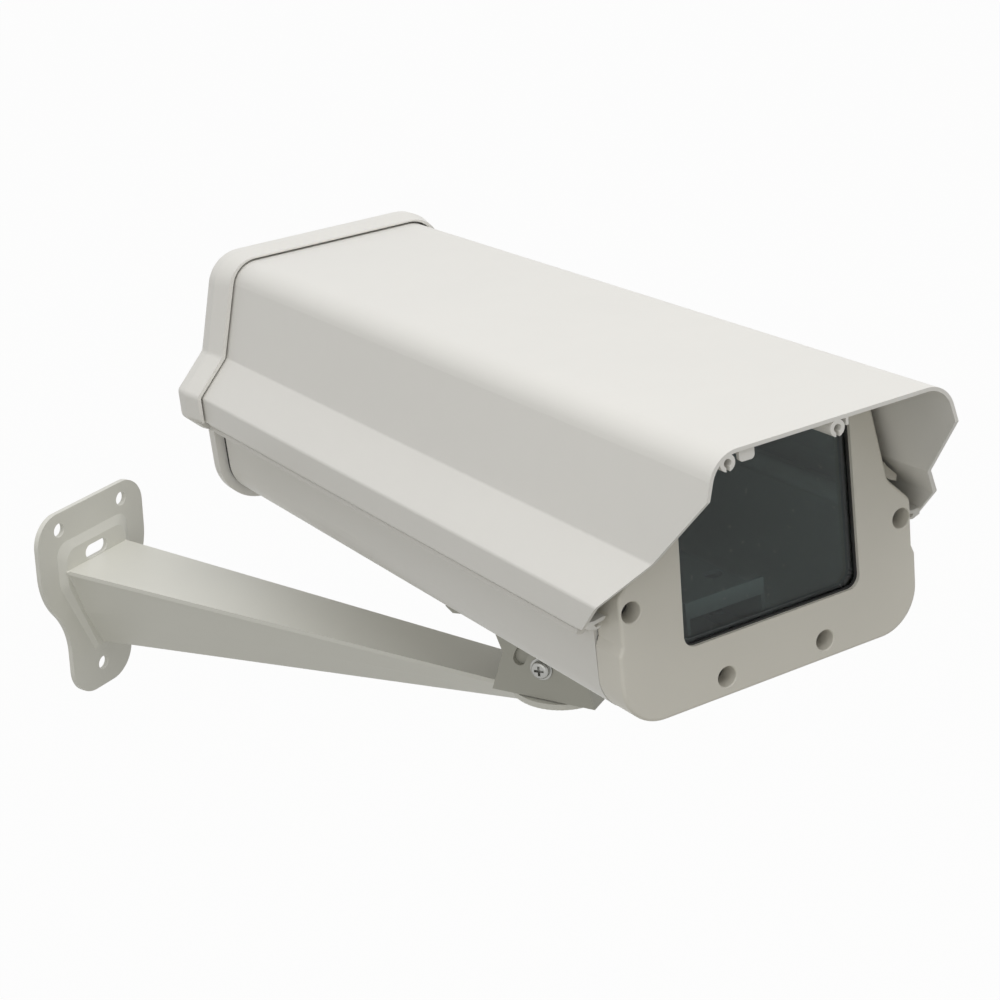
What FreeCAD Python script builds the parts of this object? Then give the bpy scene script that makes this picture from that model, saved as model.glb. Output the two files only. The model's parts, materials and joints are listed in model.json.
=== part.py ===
import FreeCAD, Part
import math
import os

V = FreeCAD.Vector

# An outdoor camera housing on a wall bracket. Lengths are in millimetres and +Z is up.
# The origin is midway between the two upper screw holes, on the back of the wall plate.
# The arm reaches out along -Y. The housing has its own frame, used by its functions:
# X to the viewer's right, Y from the front to the back, Z up, with its origin in the middle
# of the front frame's lower edge.

# Clearances: running pins, screws in their holes, and loose or moving parts
RUN = 0.06
SCREW_GAP = 0.05
LOOSE = 0.4
OPEN_GAP = 0.9

# Length of tools that cut right through
FAR = 200.0

# Wall plate
PLATE_T = 2.5
PLATE_HALF_W = 37.0
PLATE_UP = 8.5
PLATE_DOWN = 91.0
PLATE_TOP_R = 14.0
LOBE_HALF_W = 21.0
LOBE_R = 15.0
NECK_Z = -65.0
SHOULDER_Z = -19.0
WALL_PITCH = 44.0
WALL_HOLE_R = 3.5
LOWER_HOLE_DROP = 79.2
SLOT_LEN = 15.5
SLOT_W = 7.0
DOME_H = 2.0
DOME_HALF_W = 25.0
DOME_SLOPE = 4.0
DOME_ABOVE_ARM = 14.0
DOME_BELOW_ARM = 51.0
DOME_FOOT_HALF_W = 4.0
DOME_FOOT_R = 3.5
DOME_WAIST_DROP = 8.0
DOME_WAIST_R = 12.0
DOME_TOP_R = 7.0

# Arm
ARM_DROP = 21.0
ARM_REACH = 261.0
ARM_ROOT_HALF_W = 21.0
ARM_TIP_HALF_W = 11.7
ARM_ROOT_DEPTH = 48.0
ARM_TIP_DEPTH = 11.5
ARM_SHEET = 2.0
ARM_KEEL_R = 1.5
ARM_LIP = 0.7
ARM_BEND_R = 8.0
FLARE_LEN = 17.0
FLARE_OUT = 1.6
CREASE_OUT = 0.4
TIP_OUT = 0.2
PAD_R = 21.0
PAD_T = 3.0
PAD_EDGE_R = 0.8

# Swivel head
PAN_REST = 6.0
TILT_REST = -5.7
TURN_REST = -33.2
PAN_BOLT_R = 4.0
PAN_HEX_R = 7.5
PAN_HEAD_H = 5.5
PAN_NUT_H = 5.0
PAN_WASHER_R = 8.5
PAN_WASHER_T = 1.4
PAN_BOLT_PROUD = 2.0
PAN_DISC_T = 0.6
PAN_DISC_R = 17.0
YOKE_HALF_W = 18.5
YOKE_SHEET = 2.0
YOKE_REAR = 23.0
YOKE_FRONT = 24.0
YOKE_H = 33.0
YOKE_FRONT_H = 14.0
YOKE_LEAN = 0.317
YOKE_WAIST = 18.0
YOKE_CORNER = 4.0
PIVOT_H = 15.0
TILT_SCREW_R = 2.5
TILT_WASHER_R = 4.9
TILT_HEAD_R = 4.0
LOCK_SCREW_R = 2.0
LOCK_WASHER_R = 4.4
LOCK_HEAD_R = 3.6
SIDE_HEAD_H = 2.2
SIDE_WASHER_T = 1.0
SIDE_NUT_T = 2.6
SIDE_PROUD = 1.0
LOCK_ARC_R = 10.6
ARC_SLOT_W = 5.6
ARC_FROM = 11.0
ARC_TO = 150.0
LOCK_ANGLE = 100.0
CRADLE_HALF_L = 43.5
CRADLE_SIDE_H = 11.0
CRADLE_END_R = 3.0
CRADLE_LOBE_R = 10.5
CRADLE_LOBE_HALF_L = 13.6
CRADLE_LOBE_Z = 3.0
CRADLE_LOBE_SPREAD = 3.4
CRADLE_SIDE_GAP = 0.35
RAIL_H = 10.0
RAIL_HALF_W = 16.0
RAIL_HALF_L = 55.0
RAIL_CORNER_R = 5.0
RAIL_SCREW_R = 2.0
RAIL_SCREW_IN = 9.0
RAIL_SCREW_LEN = 7.0
TURN_SCREW_R = 3.1
TURN_HEX_R = 5.6
TURN_HEAD_H = 4.0
TURN_WASHER_R = 7.5
TURN_WASHER_T = 1.2

# Housing body
TRAY_ABOVE_PIVOT = 41.1
HEAD_BACK = 152.9
WALL = 2.2
TRAY_HALF_W = 66.0
TRAY_CORNER_R = 16.0
TRAY_TOP = 37.0
BODY_REAR = 325.0
FLANGE_T = 2.0
HINGE_OUT = 5.0
HINGE_Z = TRAY_TOP + 1.0
BEAD_R = 1.7
SOCKET_WALL = 1.5
FLANGE_OUT = 8.0
CLOSING_OUT = 4.4
CLOSING_R = 1.5
CLOSING_DROP = 3.0
CLIP_R = 2.5
CLIP_T = 0.8
STRIP_W = 1.9
HINGE_X = TRAY_HALF_W + HINGE_OUT
FLANGE_X = TRAY_HALF_W + FLANGE_OUT
CLOSING_X = TRAY_HALF_W + CLOSING_OUT

# Front frame, window and seals
FRAME_T = 15.0
FRAME_GASKET = 0.8
FRAME_TOP = 101.0
FRAME_FOOT_R = 17.0
FRAME_RIM_R = 1.4
FRAME_STEP = 1.4
FRAME_STEP_LOW = 29.0
FRAME_STEP_HIGH = 32.5
HIP_Z = 51.0
SHOULDER_IN = 11.4
SHOULDER_Z_H = 61.0
NECK_IN = 17.1
NECK_Z_H = 88.0
CROWN_IN = 20.2
CROWN_R = 8.0
RECESS_IN = 8.0
RECESS_W = 10.0
RECESS_LOW = 12.0
RECESS_HIGH = 26.0
RECESS_DEPTH = 8.0
SIDE_SCREW_IN = 6.1
SIDE_SCREW_Z = 44.4
LOW_SCREW_X = 22.1
LOW_SCREW_Z = 7.6
WELL_R = 3.9
WELL_EDGE = 0.4
WELL_DEPTH = 9.0
FRAME_SCREW_R = 2.0
FRAME_HEAD_R = 3.3
FRAME_HEAD_H = 2.4
SCREW_PORT_WALL = 1.9
SCREW_GRIP = 12.0
SCREW_PORT_R = FRAME_SCREW_R + SCREW_PORT_WALL
SIDE_SCREW_X = TRAY_HALF_W - SIDE_SCREW_IN
WINDOW_HALF_W = 39.4
WINDOW_LOW = 23.7
WINDOW_HIGH = 93.0
WINDOW_R = 5.0
GLASS_IN = 1.4
GLASS_T = 4.0
GLASS_LAP = 3.0
SEAL_T = 1.0
SEAL_SHOWS = 0.6

# Cover
COVER_WALL = 1.4
COVER_TOP = 108.7
COVER_CORNER_IN = 16.9
COVER_CORNER_R = 12.0
FOLD_IN = 5.3
FOLD_Z = 67.3
SKIRT_OUT = 9.4
COVER_CORNER_X = TRAY_HALF_W - COVER_CORNER_IN
FOLD_X = TRAY_HALF_W - FOLD_IN
SKIRT_X = TRAY_HALF_W + SKIRT_OUT
SKIRT_TOP = 51.6
SKIRT_LOW = 40.2
HOOD = 39.8
HOOD_CUT_Z = 93.4
HOOD_CUT_RATE = 0.9
SKIRT_RETURN_T = 1.5
PORT_R = 3.0
PORT_SINK = 0.3
PORT_Z = COVER_TOP - COVER_WALL - PORT_R + PORT_SINK
PORT_BORE_R = 1.5
CENTRE_PORT_X = 1.0
LEFT_PORT_IN = 5.1
LEFT_PORT_X = LEFT_PORT_IN - COVER_CORNER_X
RIB_X = 5.2
RIB_T = 1.0
RIB_H = 2.6
TAB_FROM_PORT = 8.3
TAB_X = LEFT_PORT_X + TAB_FROM_PORT
TAB_W = 6.2
TAB_BACK = 0.8
TAB_DROP = 4.1
TAB_T = 1.5
TAB_FOOT = 12.0

# Rear caps
CAP_LAP = 4.0
CAP_DEPTH = 17.0
LOW_CAP_DEPTH = 12.0
CAP_FRONT = BODY_REAR - CAP_LAP
CAP_REAR = BODY_REAR + CAP_DEPTH
LOW_CAP_REAR = BODY_REAR + LOW_CAP_DEPTH
CAP_WALL = 2.5
CAP_PROUD = 5.0
CAP_FRONT_PROUD = 2.6
CAP_TAPER = 10.0
CAP_EDGE_R = 6.0
CAP_GAP = 1.0
CAP_FOOT = 35.0
CAP_FOOT_IN = 6.5
REAR_GASKET_T = 2.4
LOW_CAP_PROUD = 4.0
LOW_CAP_EDGE_R = 4.0
LOW_CAP_TOP = 32.7
REAR_SCREW_R = 1.45

# Fittings inside and below
SLED_HALF_W = LOW_SCREW_X - SCREW_PORT_R - LOOSE
SLED_Z = 20.0
SLED_T = 1.6
SLED_FRONT = 31.0
SLED_REAR = 262.0
SLED_SLOT_FRONT = 40.0
SLED_SLOT_REAR = 30.0
SLED_LIP = 5.0
SLED_FOOT = 9.0
SLED_SCREW_IN = 5.1
SLED_SCREW_END = 25.0
GLAND_X = 38.0
GLAND_Z = 18.0
GLAND_R = 8.0
GLAND_LEN = 24.0
GLAND_THREAD_R = 6.0
GLAND_SEAL_T = 1.2
GLAND_BODY = 5.0
GLAND_NECK = 2.0
GLAND_CLAMP = 9.0
GLAND_NUT_T = 3.5
CABLE_R = 3.5
CAMERA_SCREW_R = 3.175
CAMERA_SCREW_Y = 106.0
KNOB_R = 9.0
KNOB_H = 5.0
SLED_SLOT_W = 7.0
SLED_SCREW_R = 1.5
SLED_TOOL_R = 3.6


def loop(points, y):
    """Closed outline in the XZ plane at depth y; each point is (x, z) or (x, z, corner radius)."""
    pts = [V(p[0], y, p[1]) for p in points]
    radii = [p[2] if len(p) > 2 else 0.0 for p in points]
    count = len(pts)
    starts, ends, mids = [], [], []
    for i in range(count):
        here, before, after = pts[i], pts[i - 1], pts[(i + 1) % count]
        a = (before - here).normalize()
        b = (after - here).normalize()
        r = radii[i]
        if r <= 0:
            starts.append(here)
            ends.append(here)
            mids.append(None)
            continue
        half = 0.5 * math.acos(max(-1.0, min(1.0, a.dot(b))))
        reach = r / math.tan(half)
        centre = here + (a + b).normalize() * (r / math.sin(half))
        starts.append(here + a * reach)
        ends.append(here + b * reach)
        mids.append(centre + (here - centre).normalize() * r)
    edges = []
    for i in range(count):
        if mids[i] is not None:
            edges.append(Part.Arc(starts[i], mids[i], ends[i]).toShape())
        j = (i + 1) % count
        if (starts[j] - ends[i]).Length > 1e-6:
            edges.append(Part.LineSegment(ends[i], starts[j]).toShape())
    return Part.Wire(edges)


def slab(points, y0, y1):
    """Solid between two depths with the given outline."""
    return Part.Face(loop(points, y0)).extrude(V(0, y1 - y0, 0))


def mirrored(half):
    """Closed outline from its right half, given from the bottom up."""
    left = [(-p[0],) + tuple(p[1:]) for p in reversed(half)]
    return list(half) + left


def cyl(r, h, at, axis=(0, 0, 1)):
    return Part.makeCylinder(r, h, V(*at), V(*axis))


def box(lo, hi):
    return Part.makeBox(hi[0] - lo[0], hi[1] - lo[1], hi[2] - lo[2], V(*lo))


def fused(shapes):
    out = shapes[0]
    for s in shapes[1:]:
        out = out.fuse(s)
    return out.removeSplitter()


def cross_recess(at, axis, r):
    """Cross-shaped driver recess to cut into a screw head, at the head's outer face."""
    depth = 0.45 * r
    bars = []
    for w, l in ((0.28 * r, 1.1 * r), (1.1 * r, 0.28 * r)):
        bars.append(Part.makeBox(w, l, depth, V(-w / 2, -l / 2, -depth)))
    out = fused(bars)
    out.Placement = FreeCAD.Placement(V(*at), FreeCAD.Rotation(V(0, 0, 1), V(*axis)))
    return out


def pan_head_screw(at, axis, r, length, head_r, head_h):
    """Screw whose head rests at the point given; axis points out of the head."""
    out = V(*axis)
    seat = V(*at)
    shank = Part.makeCylinder(r, length, seat, out * -1)
    head = Part.makeCylinder(head_r, head_h, seat, out)
    rim = max(head.Edges, key=lambda e: (e.CenterOfMass - seat).dot(out))
    head = head.makeFillet(0.7 * head_h, [rim])
    top = seat + out * head_h
    return head.cut(cross_recess((top.x, top.y, top.z), axis, head_r)).fuse(shank)


def hex_prism(r, h, at, axis=(0, 0, 1)):
    pts = [V(r * math.cos(math.radians(60 * i)), r * math.sin(math.radians(60 * i)), 0) for i in range(7)]
    solid = Part.Face(Part.makePolygon(pts)).extrude(V(0, 0, h))
    solid.Placement = FreeCAD.Placement(V(*at), FreeCAD.Rotation(V(0, 0, 1), V(*axis)))
    return solid


def ring(r_out, r_in, h, at, axis=(0, 0, 1)):
    return cyl(r_out, h, at, axis).cut(cyl(r_in, h, at, axis))


# Frames: the head turns on the arm's pad, the cradle tilts in it, and the housing turns on the cradle.
def placement(at, turns):
    rot = FreeCAD.Rotation()
    for axis, angle in turns:
        rot = rot.multiply(FreeCAD.Rotation(V(*axis), angle))
    return FreeCAD.Placement(V(*at), rot)


PAD_TOP = V(0, -ARM_REACH, -ARM_DROP)
PIVOT = PAD_TOP + V(0, 0, PIVOT_H)
HEAD = placement(PAD_TOP, [((0, 0, 1), PAN_REST)])
CRADLE = placement(PIVOT, [((0, 0, 1), PAN_REST), ((1, 0, 0), TILT_REST)])
TURNED = [((0, 0, 1), PAN_REST), ((1, 0, 0), TILT_REST), ((0, 0, 1), TURN_REST)]
OFFSET = FreeCAD.Placement(V(0, -HEAD_BACK, TRAY_ABOVE_PIVOT), FreeCAD.Rotation())
BODY = placement(PIVOT, TURNED).multiply(OFFSET)


# Wall bracket
def plate_outline(inset):
    w, lobe = PLATE_HALF_W - inset, LOBE_HALF_W - inset
    step, fall = w - lobe, SHOULDER_Z - NECK_Z
    bend = (fall * fall + step * step) / (4 * step)
    knee = V(w - step / 2, 0, (SHOULDER_Z + NECK_Z) / 2)
    turn = 2 * math.atan2(step / 2, fall / 2)
    high = V(w - bend * (1 - math.cos(turn / 2)), 0, SHOULDER_Z - bend * math.sin(turn / 2))
    low = V(lobe + bend * (1 - math.cos(turn / 2)), 0, NECK_Z + bend * math.sin(turn / 2))
    top, bottom = PLATE_UP - inset, inset - PLATE_DOWN
    r, q = PLATE_TOP_R - inset, LOBE_R - inset
    c = math.sqrt(0.5)
    foot = V(lobe - q + q * c, 0, bottom + q - q * c)
    right = [
        Part.LineSegment(V(0, 0, top), V(w - r, 0, top)),
        Part.Arc(V(w - r, 0, top), V(w - r + r * c, 0, top - r + r * c), V(w, 0, top - r)),
        Part.LineSegment(V(w, 0, top - r), V(w, 0, SHOULDER_Z)),
        Part.Arc(V(w, 0, SHOULDER_Z), high, knee),
        Part.Arc(knee, low, V(lobe, 0, NECK_Z)),
        Part.LineSegment(V(lobe, 0, NECK_Z), V(lobe, 0, bottom + q)),
        Part.Arc(V(lobe, 0, bottom + q), foot, V(lobe - q, 0, bottom)),
        Part.LineSegment(V(lobe - q, 0, bottom), V(0, 0, bottom)),
    ]
    half = Part.Wire([s.toShape() for s in right])
    other = half.mirror(V(0, 0, 0), V(1, 0, 0))
    return Part.Wire(Part.sortEdges(half.Edges + other.Edges)[0])


def dome(y_base, y_top, grow):
    """Raised shield in the middle of the plate, with sloping sides."""
    top = DOME_ABOVE_ARM - ARM_DROP
    low = -ARM_DROP - DOME_BELOW_ARM
    wires = []
    for y, inset in ((y_base, -grow), (y_top, DOME_SLOPE - grow)):
        w = DOME_HALF_W - inset
        half = [(DOME_FOOT_HALF_W, low + inset, DOME_FOOT_R), (w, -ARM_DROP - DOME_WAIST_DROP, DOME_WAIST_R)]
        half.append((w, top - inset, DOME_TOP_R))
        wires.append(loop(mirrored(half), y))
    return Part.makeLoft(wires, True, True)


def wall_plate():
    plate = Part.Face(plate_outline(0)).extrude(V(0, -PLATE_T, 0))
    plate = plate.fuse(dome(-PLATE_T, -PLATE_T - DOME_H, 0))
    plate = plate.cut(dome(0, -DOME_H, -1.0))
    deep = PLATE_T + DOME_H + 2
    for x in (-WALL_PITCH / 2, WALL_PITCH / 2):
        plate = plate.cut(cyl(WALL_HOLE_R, deep, (x, 1, 0), (0, -1, 0)))
    plate = plate.cut(cyl(WALL_HOLE_R, deep, (0, 1, -LOWER_HOLE_DROP), (0, -1, 0)))
    r = SLOT_W / 2
    half = SLOT_LEN / 2 - r
    z = -ARM_DROP + r + 0.3
    slot = [cyl(r, deep, (-half, 1, z), (0, -1, 0)), cyl(r, deep, (half, 1, z), (0, -1, 0))]
    slot.append(box((-half, 1 - deep, z - r), (half, 1, z + r)))
    return plate.cut(fused(slot)).removeSplitter()


def arm_section(y, half_w, depth, bulge, shrink):
    """Three-sided section of the folded arm at depth y, point down, with a rounded keel."""
    top = -ARM_DROP - ARM_SHEET
    side = V(-half_w, 0, -(depth - ARM_SHEET)).normalize()
    inward = shrink / abs(side.z)
    keel = max(ARM_KEEL_R - shrink, 0.3)
    x = half_w * 0.5 + bulge - inward
    z = top - (depth - ARM_SHEET) * 0.5
    right = [(half_w - inward, top), (x, z, ARM_BEND_R)]
    left = [(-x, z, ARM_BEND_R), (inward - half_w, top)]
    return loop(right + [(0.0, -ARM_DROP - depth + shrink * 1.2, keel)] + left, y)


def bracket_arm():
    root = -PLATE_T - DOME_H
    crease = root - FLARE_LEN
    tip = -ARM_REACH + PAD_R * 0.75

    def at(y):
        f = (y - root) / (-ARM_REACH - root)
        w = ARM_ROOT_HALF_W + (ARM_TIP_HALF_W - ARM_ROOT_HALF_W) * f - ARM_LIP
        return w, ARM_ROOT_DEPTH + (ARM_TIP_DEPTH - ARM_ROOT_DEPTH) * f

    def tube(shrink):
        root_w, root_d = at(root)
        mid_w, mid_d = at(crease)
        tip_w, tip_d = at(tip)
        ends = [(root, root_w, root_d, FLARE_OUT), (crease, mid_w, mid_d, CREASE_OUT)]
        flare = Part.makeLoft([arm_section(y, w, d, b, shrink) for y, w, d, b in ends], True, True)
        ends = [(crease, mid_w, mid_d, CREASE_OUT), (tip, tip_w, tip_d, TIP_OUT)]
        long = Part.makeLoft([arm_section(y, w, d, b, shrink) for y, w, d, b in ends], True, True)
        return flare.fuse(long)

    shell = tube(0).cut(tube(ARM_SHEET))
    root_w, tip_w = ARM_ROOT_HALF_W, ARM_TIP_HALF_W
    corners = [V(-root_w, root, 0), V(root_w, root, 0), V(tip_w, -ARM_REACH, 0), V(-tip_w, -ARM_REACH, 0)]
    top = Part.Face(Part.makePolygon(corners + corners[:1])).extrude(V(0, 0, -ARM_SHEET))
    top.translate(V(0, 0, -ARM_DROP))
    pad = cyl(PAD_R, PAD_T, (0, -ARM_REACH, -ARM_DROP - PAD_T))
    rim = [e for e in pad.Edges if abs(e.CenterOfMass.z + ARM_DROP + PAD_T) < 0.01]
    pad = pad.makeFillet(PAD_EDGE_R, rim)
    arm = shell.fuse(top).fuse(pad)
    arm = arm.cut(cyl(PAN_BOLT_R + SCREW_GAP, FAR, (0, -ARM_REACH, -ARM_DROP - FAR / 2)))
    return arm.removeSplitter()


def pan_bolt():
    """Hexagon bolt up through the pad and the head, with its head under the pad."""
    low = -PAD_T - PAN_HEAD_H
    top = PAN_DISC_T + YOKE_SHEET + PAN_WASHER_T + PAN_NUT_H + PAN_BOLT_PROUD
    head = hex_prism(PAN_HEX_R, PAN_HEAD_H, (0, 0, low))
    return head.fuse(cyl(PAN_BOLT_R, top - low, (0, 0, low))).removeSplitter()


def pan_nut():
    low = PAN_DISC_T + YOKE_SHEET + PAN_WASHER_T
    nut = hex_prism(PAN_HEX_R, PAN_NUT_H, (0, 0, low))
    return nut.cut(cyl(PAN_BOLT_R + SCREW_GAP, PAN_NUT_H, (0, 0, low)))


def pan_washer():
    return ring(PAN_WASHER_R, PAN_BOLT_R + SCREW_GAP, PAN_WASHER_T, (0, 0, PAN_DISC_T + YOKE_SHEET))


def pan_friction_disc():
    return ring(PAN_DISC_R, PAN_BOLT_R + SCREW_GAP, PAN_DISC_T, (0, 0, 0))


# Swivel head
def arc_slot(x0, x1):
    """Curved slot about the tilt axis, through a cheek between x0 and x1."""
    length = x1 - x0
    r = ARC_SLOT_W / 2
    band = ring(LOCK_ARC_R + r, LOCK_ARC_R - r, length, (x0, 0, PIVOT_H), (1, 0, 0))
    far = LOCK_ARC_R * 3
    rays = [V(x0, 0, PIVOT_H)]
    for i in range(6):
        angle = math.radians(ARC_FROM + (ARC_TO - ARC_FROM) * i / 5)
        rays.append(V(x0, far * math.cos(angle), PIVOT_H + far * math.sin(angle)))
    wedge = Part.Face(Part.makePolygon(rays + rays[:1])).extrude(V(length, 0, 0))
    ends = []
    for angle in (ARC_FROM, ARC_TO):
        a = math.radians(angle)
        centre = (x0, LOCK_ARC_R * math.cos(a), PIVOT_H + LOCK_ARC_R * math.sin(a))
        ends.append(cyl(r, length, centre, (1, 0, 0)))
    return fused([band.common(wedge)] + ends)


def lower_yoke():
    """Pressed cup: a floor on the pad, two cheeks and a low front wall that leans back."""
    z0 = PAN_DISC_T
    lean = YOKE_LEAN * (YOKE_FRONT_H - z0)
    side = [(-YOKE_FRONT, z0), (YOKE_REAR, z0), (YOKE_REAR - 5.0, z0 + YOKE_WAIST)]
    side += [(YOKE_REAR - 1.0, YOKE_H - 5.0), (YOKE_REAR - YOKE_CORNER, YOKE_H)]
    side += [(-YOKE_REAR + 10.0, YOKE_H), (-YOKE_FRONT + lean, YOKE_FRONT_H)]
    face = Part.Face(Part.makePolygon([V(-YOKE_HALF_W, y, z) for y, z in side + side[:1]]))
    block = face.extrude(V(2 * YOKE_HALF_W, 0, 0))
    inner = YOKE_HALF_W - YOKE_SHEET
    floor = z0 + YOKE_SHEET
    cut = [(-YOKE_FRONT + YOKE_SHEET + 0.6, floor), (YOKE_REAR + 5, floor), (YOKE_REAR + 5, YOKE_H + 5)]
    cut += [(-YOKE_FRONT, YOKE_H + 5), (-YOKE_FRONT, YOKE_FRONT_H + 0.01)]
    cut += [(-YOKE_FRONT + lean + YOKE_SHEET, YOKE_FRONT_H + 0.01)]
    face = Part.Face(Part.makePolygon([V(-inner, y, z) for y, z in cut + cut[:1]]))
    hollow = face.extrude(V(2 * inner, 0, 0))
    yoke = block.cut(hollow)
    yoke = yoke.cut(cyl(PAN_BOLT_R + RUN, 10, (0, 0, -1)))
    for x0 in (-YOKE_HALF_W - 1, YOKE_HALF_W - YOKE_SHEET - 1):
        yoke = yoke.cut(cyl(TILT_SCREW_R + RUN, YOKE_SHEET + 2, (x0, 0, PIVOT_H), (1, 0, 0)))
        yoke = yoke.cut(arc_slot(x0, x0 + YOKE_SHEET + 2))
    return yoke.removeSplitter()


def cradle_half_w():
    return YOKE_HALF_W - YOKE_SHEET - CRADLE_SIDE_GAP


def upper_yoke():
    """Inverted channel between the cheeks; its web carries the housing's rail."""
    top = TRAY_ABOVE_PIVOT - RAIL_H
    low = top - CRADLE_SIDE_H
    w, l, lobe = cradle_half_w(), CRADLE_HALF_L, CRADLE_LOBE_HALF_L
    wide = lobe + CRADLE_LOBE_SPREAD
    rear = [V(-w, lobe, CRADLE_LOBE_Z), V(-w, wide, low), V(-w, l - CRADLE_END_R, low)]
    rear += [V(-w, l, low + CRADLE_END_R), V(-w, l, top)]
    front = [V(p.x, -p.y, p.z) for p in reversed(rear)]
    edges = [Part.Arc(front[-1], V(-w, 0, -CRADLE_LOBE_R), rear[0]).toShape()]
    for run in (rear, front):
        edges += [Part.LineSegment(run[i], run[i + 1]).toShape() for i in range(len(run) - 1)]
    edges.append(Part.LineSegment(rear[-1], front[0]).toShape())
    side = Part.Wire(Part.sortEdges(edges)[0])
    block = Part.Face(side).extrude(V(2 * w, 0, 0))
    outer = [e for e in block.Edges if e.CenterOfMass.z > top - 0.01 and abs(e.CenterOfMass.x) > w - 0.01]
    block = block.makeFillet(1.8, outer)
    inner = w - YOKE_SHEET
    yoke = block.cut(box((-inner, -l - 1, -FAR), (inner, l + 1, top - YOKE_SHEET)))
    yoke = yoke.cut(cyl(TURN_SCREW_R + RUN, 10, (0, 0, top - 5)))
    a = math.radians(LOCK_ANGLE)
    for x0 in (-w - 1, w - YOKE_SHEET - 1):
        yoke = yoke.cut(cyl(TILT_SCREW_R + SCREW_GAP, YOKE_SHEET + 2, (x0, 0, 0), (1, 0, 0)))
        at = (x0, LOCK_ARC_R * math.cos(a), LOCK_ARC_R * math.sin(a))
        yoke = yoke.cut(cyl(LOCK_SCREW_R + SCREW_GAP, YOKE_SHEET + 2, at, (1, 0, 0)))
    return yoke.removeSplitter()


def side_stack(y, z, r, washer_r, head_r):
    """Screw, washer and inner nut on both cheeks, at one point of the cradle's side."""
    screws, washers, nuts = [], [], []
    inner = cradle_half_w() - YOKE_SHEET
    for s in (-1, 1):
        face = s * YOKE_HALF_W
        axis = (s, 0, 0)
        washers.append(ring(washer_r, r + SCREW_GAP, SIDE_WASHER_T, (face, y, z), axis))
        length = YOKE_HALF_W - inner + SIDE_WASHER_T + SIDE_NUT_T + SIDE_PROUD
        seat = (face + s * SIDE_WASHER_T, y, z)
        screws.append(pan_head_screw(seat, axis, r, length, head_r, SIDE_HEAD_H))
        nut = hex_prism(1.75 * r, SIDE_NUT_T, (s * inner, y, z), (-s, 0, 0))
        nuts.append(nut.cut(cyl(r + SCREW_GAP, SIDE_NUT_T, (s * inner, y, z), (-s, 0, 0))))
    return screws, washers, nuts


def mount_screw():
    """Hexagon screw up through the cradle's web into the rail."""
    top = TRAY_ABOVE_PIVOT - 1.0
    low = TRAY_ABOVE_PIVOT - RAIL_H - YOKE_SHEET - TURN_WASHER_T - TURN_HEAD_H
    head = hex_prism(TURN_HEX_R, TURN_HEAD_H, (0, 0, low))
    return head.fuse(cyl(TURN_SCREW_R, top - low, (0, 0, low))).removeSplitter()


def mount_washer():
    web = TRAY_ABOVE_PIVOT - RAIL_H - YOKE_SHEET
    return ring(TURN_WASHER_R, TURN_SCREW_R + SCREW_GAP, TURN_WASHER_T, (0, 0, web - TURN_WASHER_T))


# Housing body
def tray_front():
    return FRAME_T + FRAME_GASKET


def tray_half(offset, top):
    """Right half of the tray's outline, moved in by offset."""
    w = TRAY_HALF_W - offset
    r = TRAY_CORNER_R - offset
    return [(w - 0.6, offset, r), (w, top, 0.0)]


def hinge_socket():
    """C-shaped socket along the tray's left edge, open to the outside."""
    y0, y1 = tray_front(), BODY_REAR
    r_in = BEAD_R + RUN
    r_out = r_in + SOCKET_WALL
    centre = (-HINGE_X, y0, HINGE_Z)
    tube = ring(r_out, r_in, y1 - y0, centre, (0, 1, 0))
    far = r_out * 3
    rays = [V(-HINGE_X, y0, HINGE_Z)]
    for angle in (98, 140, 185, 230):
        a = math.radians(angle)
        rays.append(V(-HINGE_X + far * math.cos(a), y0, HINGE_Z + far * math.sin(a)))
    mouth = Part.Face(Part.makePolygon(rays + rays[:1])).extrude(V(0, y1 - y0, 0))
    return tube.cut(mouth)


def lower_tray():
    y0, y1 = tray_front(), BODY_REAR
    tray = slab(mirrored(tray_half(0, TRAY_TOP)), y0, y1)
    tray = tray.cut(slab(mirrored(tray_half(WALL, TRAY_TOP + 5)), y0 - 1, y1 + 1))
    r_in = BEAD_R + RUN
    web = box((-HINGE_X + r_in + LOOSE, y0, TRAY_TOP - FLANGE_T), (-TRAY_HALF_W + WALL, y1, HINGE_Z))
    flange = box((TRAY_HALF_W - WALL, y0, TRAY_TOP - FLANGE_T), (FLANGE_X, y1, TRAY_TOP))
    tray = fused([tray, web, hinge_socket(), flange])
    for x, z in frame_screw_places():
        tray = tray.fuse(screw_port(x, z, y0, y1))
    for x, z in frame_screw_places():
        tray = tray.cut(cyl(FRAME_SCREW_R + SCREW_GAP, y1 - y0 + 2, (x, y0 - 1, z), (0, 1, 0)))
    for y in closing_places():
        tray = tray.cut(cyl(CLOSING_R + SCREW_GAP, FLANGE_T + 2, (CLOSING_X, y, TRAY_TOP - FLANGE_T - 1)))
    for x, y in sled_screw_places():
        tray = tray.cut(cyl(SLED_SCREW_R + SCREW_GAP, WALL + 2, (x, y, -1)))
    for y in rail_screw_places():
        tray = tray.cut(cyl(RAIL_SCREW_R + SCREW_GAP, WALL + 2, (0, y, -1)))
    return tray.removeSplitter()


def low_screw_places():
    return [(-LOW_SCREW_X, LOW_SCREW_Z), (LOW_SCREW_X, LOW_SCREW_Z)]


def frame_screw_places():
    sides = [(-SIDE_SCREW_X, SIDE_SCREW_Z), (SIDE_SCREW_X, SIDE_SCREW_Z)]
    return sides + low_screw_places()


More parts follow.
